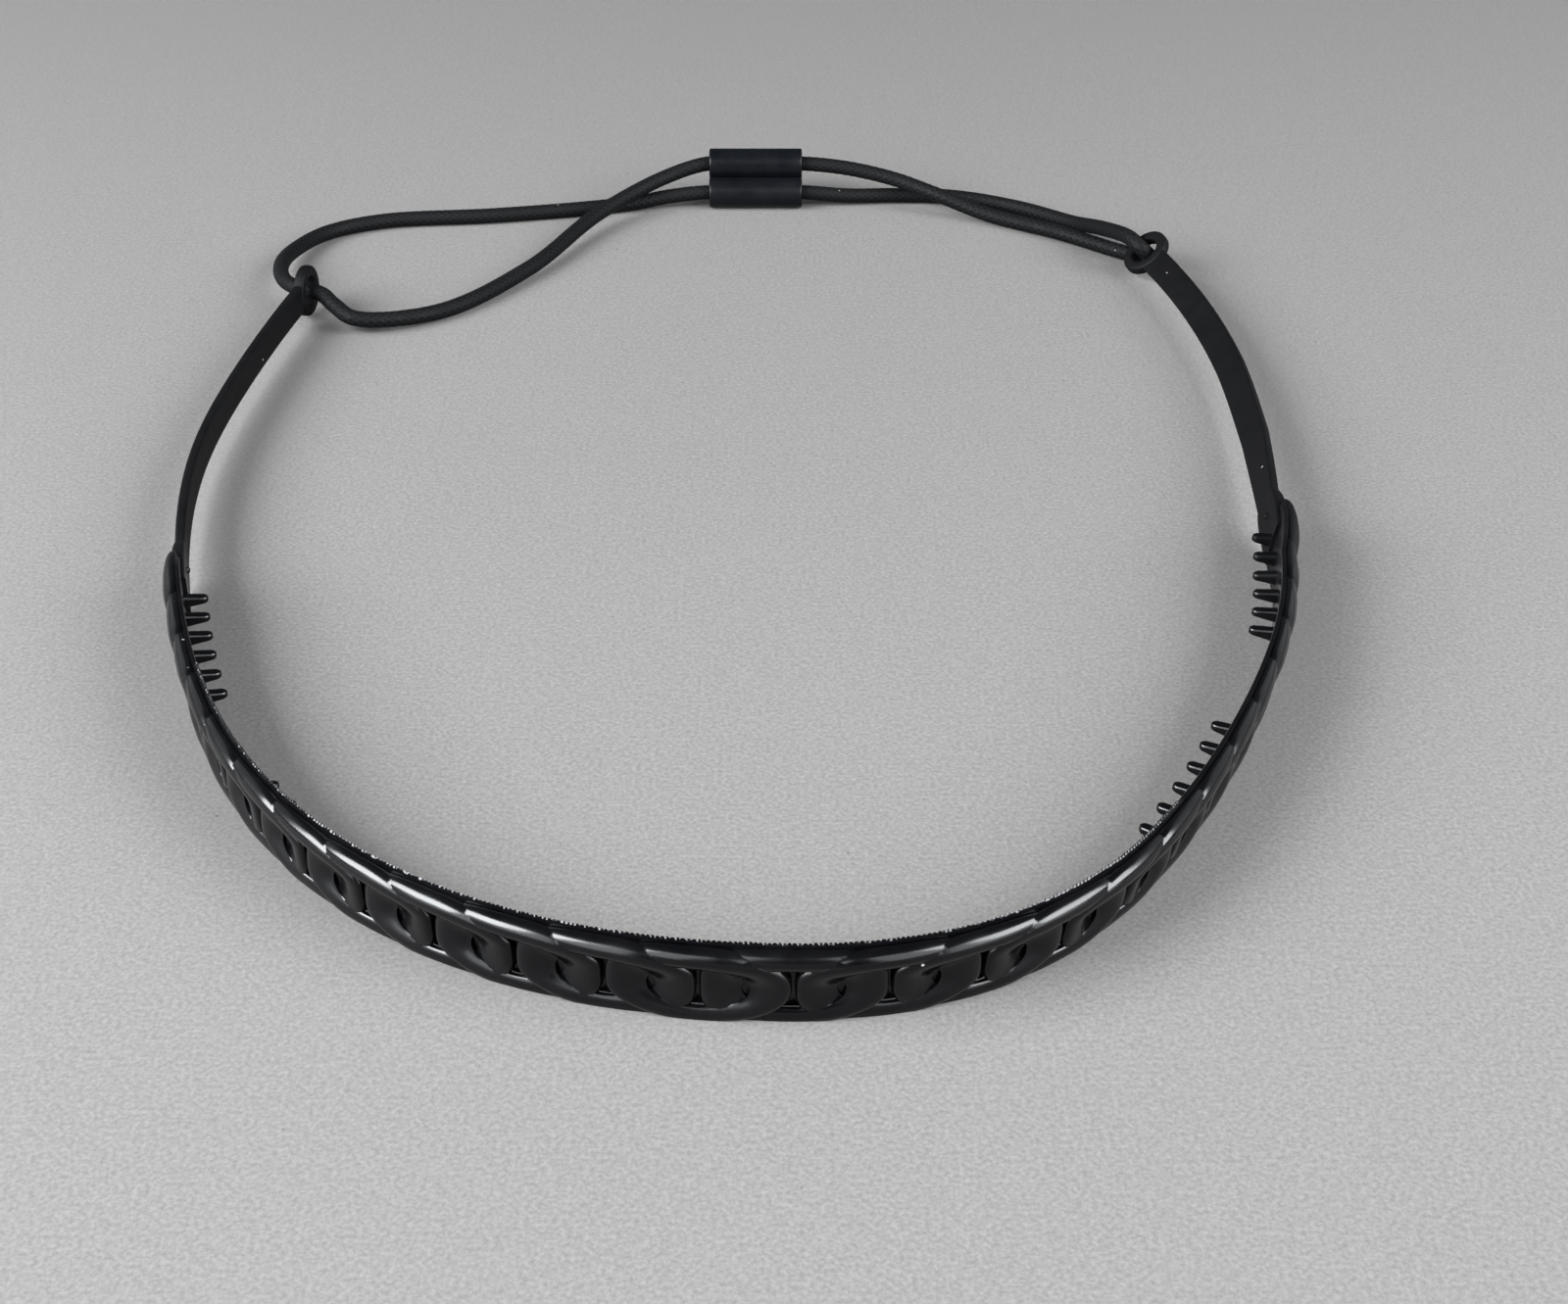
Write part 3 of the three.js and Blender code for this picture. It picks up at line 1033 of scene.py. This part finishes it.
    def link(self, index: int) -> Shell:
        """Forms one oval link, broad at its ends and narrow along its rails.

        Args:
            index: the number of the link from the left.

        Returns:
            The link's shell, drawn straight.
        """
        angle = circle(self.ring_sides)[:, None]
        turn = circle(self.wire_sides)[None, :]
        rail = np.sin(angle) ** 2
        wire = self.end_squareness + (self.rail_squareness - self.end_squareness) * rail
        across = signed_power(np.cos(turn), 2 / wire)
        thick = signed_power(np.sin(turn), 2 / wire)
        corners = self.crossings(index)
        turns = angle / QUARTER_TURN - 0.5
        before = np.floor(turns).astype(int)
        ease = (1 - np.cos(math.pi * (turns - before))) / 2
        pushed = corners[before % 4] + (corners[(before + 1) % 4] - corners[before % 4]) * ease
        lift = (pushed - self.under) / (1 - self.under)
        square = self.under_squareness + (self.over_squareness - self.under_squareness) * lift
        part = (1 + across) / 2
        flat = []
        for axis, wave in enumerate((np.cos(angle), np.sin(angle))):
            inside = self.inner[axis] * signed_power(wave, 2 / self.inner_squareness)
            inside -= self.inner_drop * axis
            outside = self.outer[axis] * signed_power(wave, 2 / square)
            flat.append(inside + (outside - inside) * part)
        x, z = flat
        most = np.where(np.sin(angle) > 0, self.top_half_thick, self.bottom_half_thick)
        half_thick = self.end_half_thick + (most - self.end_half_thick) * rail
        half_thick = half_thick - self.end_dish * (1 - rail) * (1 - part) ** 2
        middle = self.link_out + self.weave * pushed
        out = middle + np.where(thick > 0, half_thick, middle - self.link_back) * thick
        along = (index - (self.count - 1) / 2) * self.pitch
        return Shell.swept(grid(along + x, -out, self.up + z), Ends.JOINED)

    def ribs(self) -> tuple[Array, Array]:
        """Places the fine upright ribs of the rim.

        Returns:
            The places along the band at which the plate is drawn, and the rib's height at each.
        """
        chance = np.random.default_rng(self.seed)
        places: list[float] = []
        heights: list[float] = []
        at, stop = self.rib_zone
        rising, falling = self.rib_shoulders
        while at < stop:
            step = self.rib_pitch * float(chance.uniform(*self.rib_spread))
            high = float(chance.uniform(*self.rib_depth))
            places += [at, at + step * rising, at + step * falling]
            heights += [0.0, high, high]
            at += step
        end = self.plate_half_long
        before = np.arange(-end, self.rib_zone[0] - self.rib_gap, self.plate_step)
        after = np.append(np.arange(at, end, self.plate_step), end)
        along = np.concatenate([before, places, after])
        return along, np.pad(heights, (len(before), len(after)))

    def plate(self) -> Shell:
        """Forms the backing plate with a rough rim and fine ribs on its inner face.

        Each row of its section holds the depth, the height as a share of the half height, and
        how much of the ribs shows there.

        Returns:
            The plate's shell, drawn straight.
        """
        along, rise = self.ribs()
        deep = self.plate_thick
        inner = [(0.0, high, 1.0) for high in np.linspace(-0.95, 0.95, 9)]
        rim = [(0.05, 0.985, 1.0), (0.13, 1.0, 0.6), (0.21, 1.0, 0.0)]
        outer = [(deep, 1.0, 0.0), (deep, -0.92, 0.0), (deep - 0.12, -1.0, 0.0), (0.1, -1.0, 0.0)]
        depth, share, shows = np.array(inner + rim + outer).T
        sharpest = 0.995
        past = np.maximum(np.abs(along) - (self.count - 1) / 2 * self.pitch, 0)
        past = np.minimum(past / self.plate_end_reach, sharpest)
        round_off = (1 - past**self.inner_squareness) ** (1 / self.inner_squareness)
        height = self.plate_up + self.plate_half_high * share * round_off[:, None]
        fade = np.clip((height - self.rib_foot) / self.rib_fade, 0, 1) * shows
        inward = -depth - self.plate_setback + rise[:, None] * fade
        points = grid(along[:, None], inward, height)
        chance = np.random.default_rng(self.seed + 1)
        nib = rise * self.nib_part
        low, top = len(inner), len(inner) + 1
        points[:, low, 2] += nib / 2
        points[:, top, 2] += nib
        stray = chance.uniform(-self.rib_jitter, self.rib_jitter, (len(along), 2))
        points[:, low : top + 1, 1] += (rise > 0)[:, None] * stray
        return Shell.swept(points, Ends.CAPPED)

    def bar(
        self, along: Array, size: Array, thick: float, high: float, rounding: float
    ) -> Shell:
        """Forms a bar whose inner face lies on the plan's curve.

        Args:
            along: where its sections stand along the band.
            size: the size of each section, 1 where it is full.
            thick: its full thickness.
            high: its full height.
            rounding: the radius of its edges.

        Returns:
            Its shell, drawn straight.
        """
        section = rounded_section(thick, high, rounding, corner=4, across=2, up=4)
        inward = (section[:, 0] - thick / 2) * size[:, None]
        upward = self.up + section[:, 1] * size[:, None]
        return Shell.swept(grid(along[:, None], inward, upward), Ends.CAPPED)

    def tail(self, side: Side, eyelet: float) -> list[Shell]:
        """Forms the low end block, the strap, the eyelet and the pip of one side.

        Args:
            side: the side.
            eyelet: where the middle of the eyelet is along the band.

        Returns:
            Their shells, drawn straight.
        """
        run = np.linspace(0, 1, self.end_sections)
        along = side.value * (self.end_from + (self.end_to - self.end_from) * run)
        size = 1 - (1 - self.end_tip) * run**4
        block = self.bar(along, size, self.end_thick, self.end_high, self.end_rounding)
        end = abs(eyelet) - self.eyelet_radius + self.eyelet_overlap
        along = side.value * np.linspace(self.strap_start, end, self.strap_sections)
        full = np.ones(len(along))
        strap = self.bar(along, full, self.strap_thick, self.strap_high, self.strap_rounding)
        wall, reach = self.eyelet_radius - self.eyelet_hole, self.eyelet_radius + self.eyelet_hole
        thick, rounding = self.eyelet_thick, self.eyelet_rounding
        section = rounded_section(wall, thick, rounding, corner=5, across=2, up=2)
        x, z = turned(section, reach / 2, self.eyelet_sides)
        inward = section[:, 1] - self.strap_thick / 2
        ring = Shell.swept(grid(eyelet + x, inward, self.up + z), Ends.JOINED)
        at, radius, high = self.pip
        rise = np.append(self.pip_foot, np.sin(np.linspace(0, 0.96 * QUARTER_TURN, 8)))
        away = radius * np.sqrt(1 - np.maximum(rise, 0) ** 2)
        angle = circle(self.pip_sides)
        x = side.value * at + np.outer(away, np.cos(angle))
        z = self.up + np.outer(away, np.sin(angle))
        pip = Shell.swept(grid(x, (rise * high)[:, None], z), Ends.CAPPED)
        return [block, strap, ring, pip]

    def tooth(self, at: float) -> Shell:
        """Forms one comb tooth, a tongue that thins towards its round tip.

        Args:
            at: where it is along the band.

        Returns:
            Its shell, drawn straight.
        """
        half = self.tooth_wide / 2
        start = self.tooth_long - half
        tip = np.sin(np.linspace(0, 0.97 * QUARTER_TURN, 7))
        run = np.concatenate([np.linspace(-self.tooth_root, start, 6)[:-1], start + half * tip])
        past = np.clip((run - start) / half, 0, 1)
        narrow = np.sqrt(1 - past**2)
        blunt = self.tooth_tip + (1 - self.tooth_tip) * narrow
        thin = (1 - self.tooth_taper * run / self.tooth_long) * blunt
        section = rounded_section(1.0, 1.0, self.tooth_rounding, corner=4, across=1, up=1)
        x = at + self.tooth_wide * np.outer(narrow, section[:, 0])
        z = self.up + self.tooth_high * np.outer(thin, section[:, 1])
        return Shell.swept(grid(x, (run - self.plate_setback)[:, None], z), Ends.CAPPED)

    def build(self) -> Object:
        """Fuses all of the band's forms into one moulding.

        Returns:
            The band.
        """
        band = self.bent(self.plate()).to_object("moulded_chain_band")
        steps = np.arange(self.tooth_count) * self.tooth_pitch
        teeth = [self.tooth(at) for at in np.add.outer(self.tooth_starts, steps).ravel()]
        groups = [
            *([self.link(index) for index in range(first, self.count, 2)] for first in (0, 1)),
            teeth,
            *zip(*(self.tail(side, at) for side, at in self.eyelets)),
        ]
        for shells in groups:
            fuse(band, self.bent(Shell.gathered(shells)), Fusing.JOIN)
        wide, deep = self.floor_block
        x, y = rounded_section(wide, wide, radius=0.01, corner=1, across=1, up=1).T
        block = grid(x, y, np.array([[-deep], [0.0]]))
        fuse(band, Shell.swept(block, Ends.CAPPED), Fusing.CUT)
        smooth(band, self.crease)
        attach(band, BODY)
        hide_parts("band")
        return band


@dataclass(frozen=True)
class SoftLamp:
    """A soft light that hangs on both sides and faces the middle of the part.

    Args:
        kind: the middle word of its name.
        place: where it hangs on the right side, in metres.
        size: its width and height.
        power: its power in watts on the left and on the right side.
        tint: its colour.
    """

    kind: str
    place: Point
    size: Range
    power: Range
    tint: Point = (0.95, 0.98, 1.0)

    def hang(self, side: Side) -> None:
        """Hangs the light on one side.

        Args:
            side: the side to hang it on.
        """
        name = f"{side.name.lower()}_{self.kind}_light"
        data = bpy.data.lights.new(name, "AREA")
        data.shape = "RECTANGLE"
        data.size, data.size_y = self.size
        data.energy = dict(zip(Side, self.power))[side]
        data.color = self.tint
        place = Vector((self.place[0] * side.value, *self.place[1:]))
        lamp = bpy.data.objects.new(name, data)
        lamp.location = place
        lamp.rotation_euler = (-place).to_track_quat("-Z", "Y").to_euler()
        bpy.context.scene.collection.objects.link(lamp)


@dataclass
class Studio(Dressed):
    """The pale floor and the soft light.

    Args:
        floor_half: half the width of the floor, in metres.
        drop: how far the floor lies under the part, in metres.
        finish: the floor's paper.
        lamps: the soft lights.
        room: the colour of the dim light from all round.
        room_strength: the strength of that light.
    """

    floor_half: float = 3.0
    drop: float = 0.00005
    finish: PalePaper = PalePaper(
        "pale_grey_paper",
        light=(0.0855, 0.0822, 0.0802, 1),
        dark=(0.0554, 0.0534, 0.0522, 1),
        fleck=(0.026, 0.0245, 0.0235, 1),
    )
    lamps: tuple[SoftLamp, ...] = (
        SoftLamp("wide", (0.6, -0.6, 0.4), (0.95, 0.9), (19.0, 16.0)),
        SoftLamp("core", (0.57, -0.23, 0.38), (0.58, 0.42), (33.0, 21.0)),
        SoftLamp("rear", (0.95, 0.55, 0.5), (1.0, 0.8), (2.0, 2.0)),
    )
    room: Colour = (0.9, 0.95, 1.0, 1)
    room_strength: float = 0.12

    def floor(self, effects: SurfaceEffects) -> Object:
        """Lays the floor.

        Args:
            effects: the shared node groups.

        Returns:
            The floor.
        """
        half = self.floor_half
        mesh = bpy.data.meshes.new("paper_floor")
        corners = [(-half, -half), (half, -half), (half, half), (-half, half)]
        mesh.from_pydata([(x, y, -self.drop) for x, y in corners], [], [(0, 1, 2, 3)])
        floor = bpy.data.objects.new("paper_floor", mesh)
        bpy.context.scene.collection.objects.link(floor)
        self.dress(floor, effects)
        return floor

    def light(self) -> None:
        """Hangs the soft lights and sets the room's dim light."""
        for side in Side:
            for lamp in self.lamps:
                lamp.hang(side)
        world = bpy.data.worlds.new("dim_room")
        bpy.context.scene.world = world
        world.use_nodes = True
        background = world.node_tree.nodes["Background"]
        background.inputs["Color"].default_value = self.room
        background.inputs["Strength"].default_value = self.room_strength
        bpy.context.scene.view_settings.view_transform = "Standard"


def clear_startup() -> None:
    """Removes what a new file holds besides the frame."""
    kept = set(frame["bodies"].values()) | set(frame["nodes"].values())
    for thing in [o for o in bpy.data.objects if o not in kept]:
        bpy.data.objects.remove(thing)


def main() -> None:
    """Builds the camera, the cord, the band and the studio."""
    logging.basicConfig(level=logging.INFO, format="%(name)s: %(message)s")
    clear_startup()
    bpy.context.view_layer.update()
    camera = PhotoCamera().build()
    LOG.info("camera %s", camera.name)
    effects = SurfaceEffects()
    stopper_maker, cord_maker, band_maker = CordStopper(), ElasticCord(), MouldedBand(BandPlan())
    stopper = stopper_maker.build()
    cord = cord_maker.build(stopper)
    band = band_maker.build()
    for maker, piece in ((stopper_maker, stopper), (cord_maker, cord), (band_maker, band)):
        maker.dress(piece, effects)
        LOG.info("piece %s, %d faces", piece.name, len(piece.data.polygons))
    studio = Studio()
    floor = studio.floor(effects)
    studio.light()
    LOG.info("stage %s", floor.name)


if __name__ == "__main__":
    main()
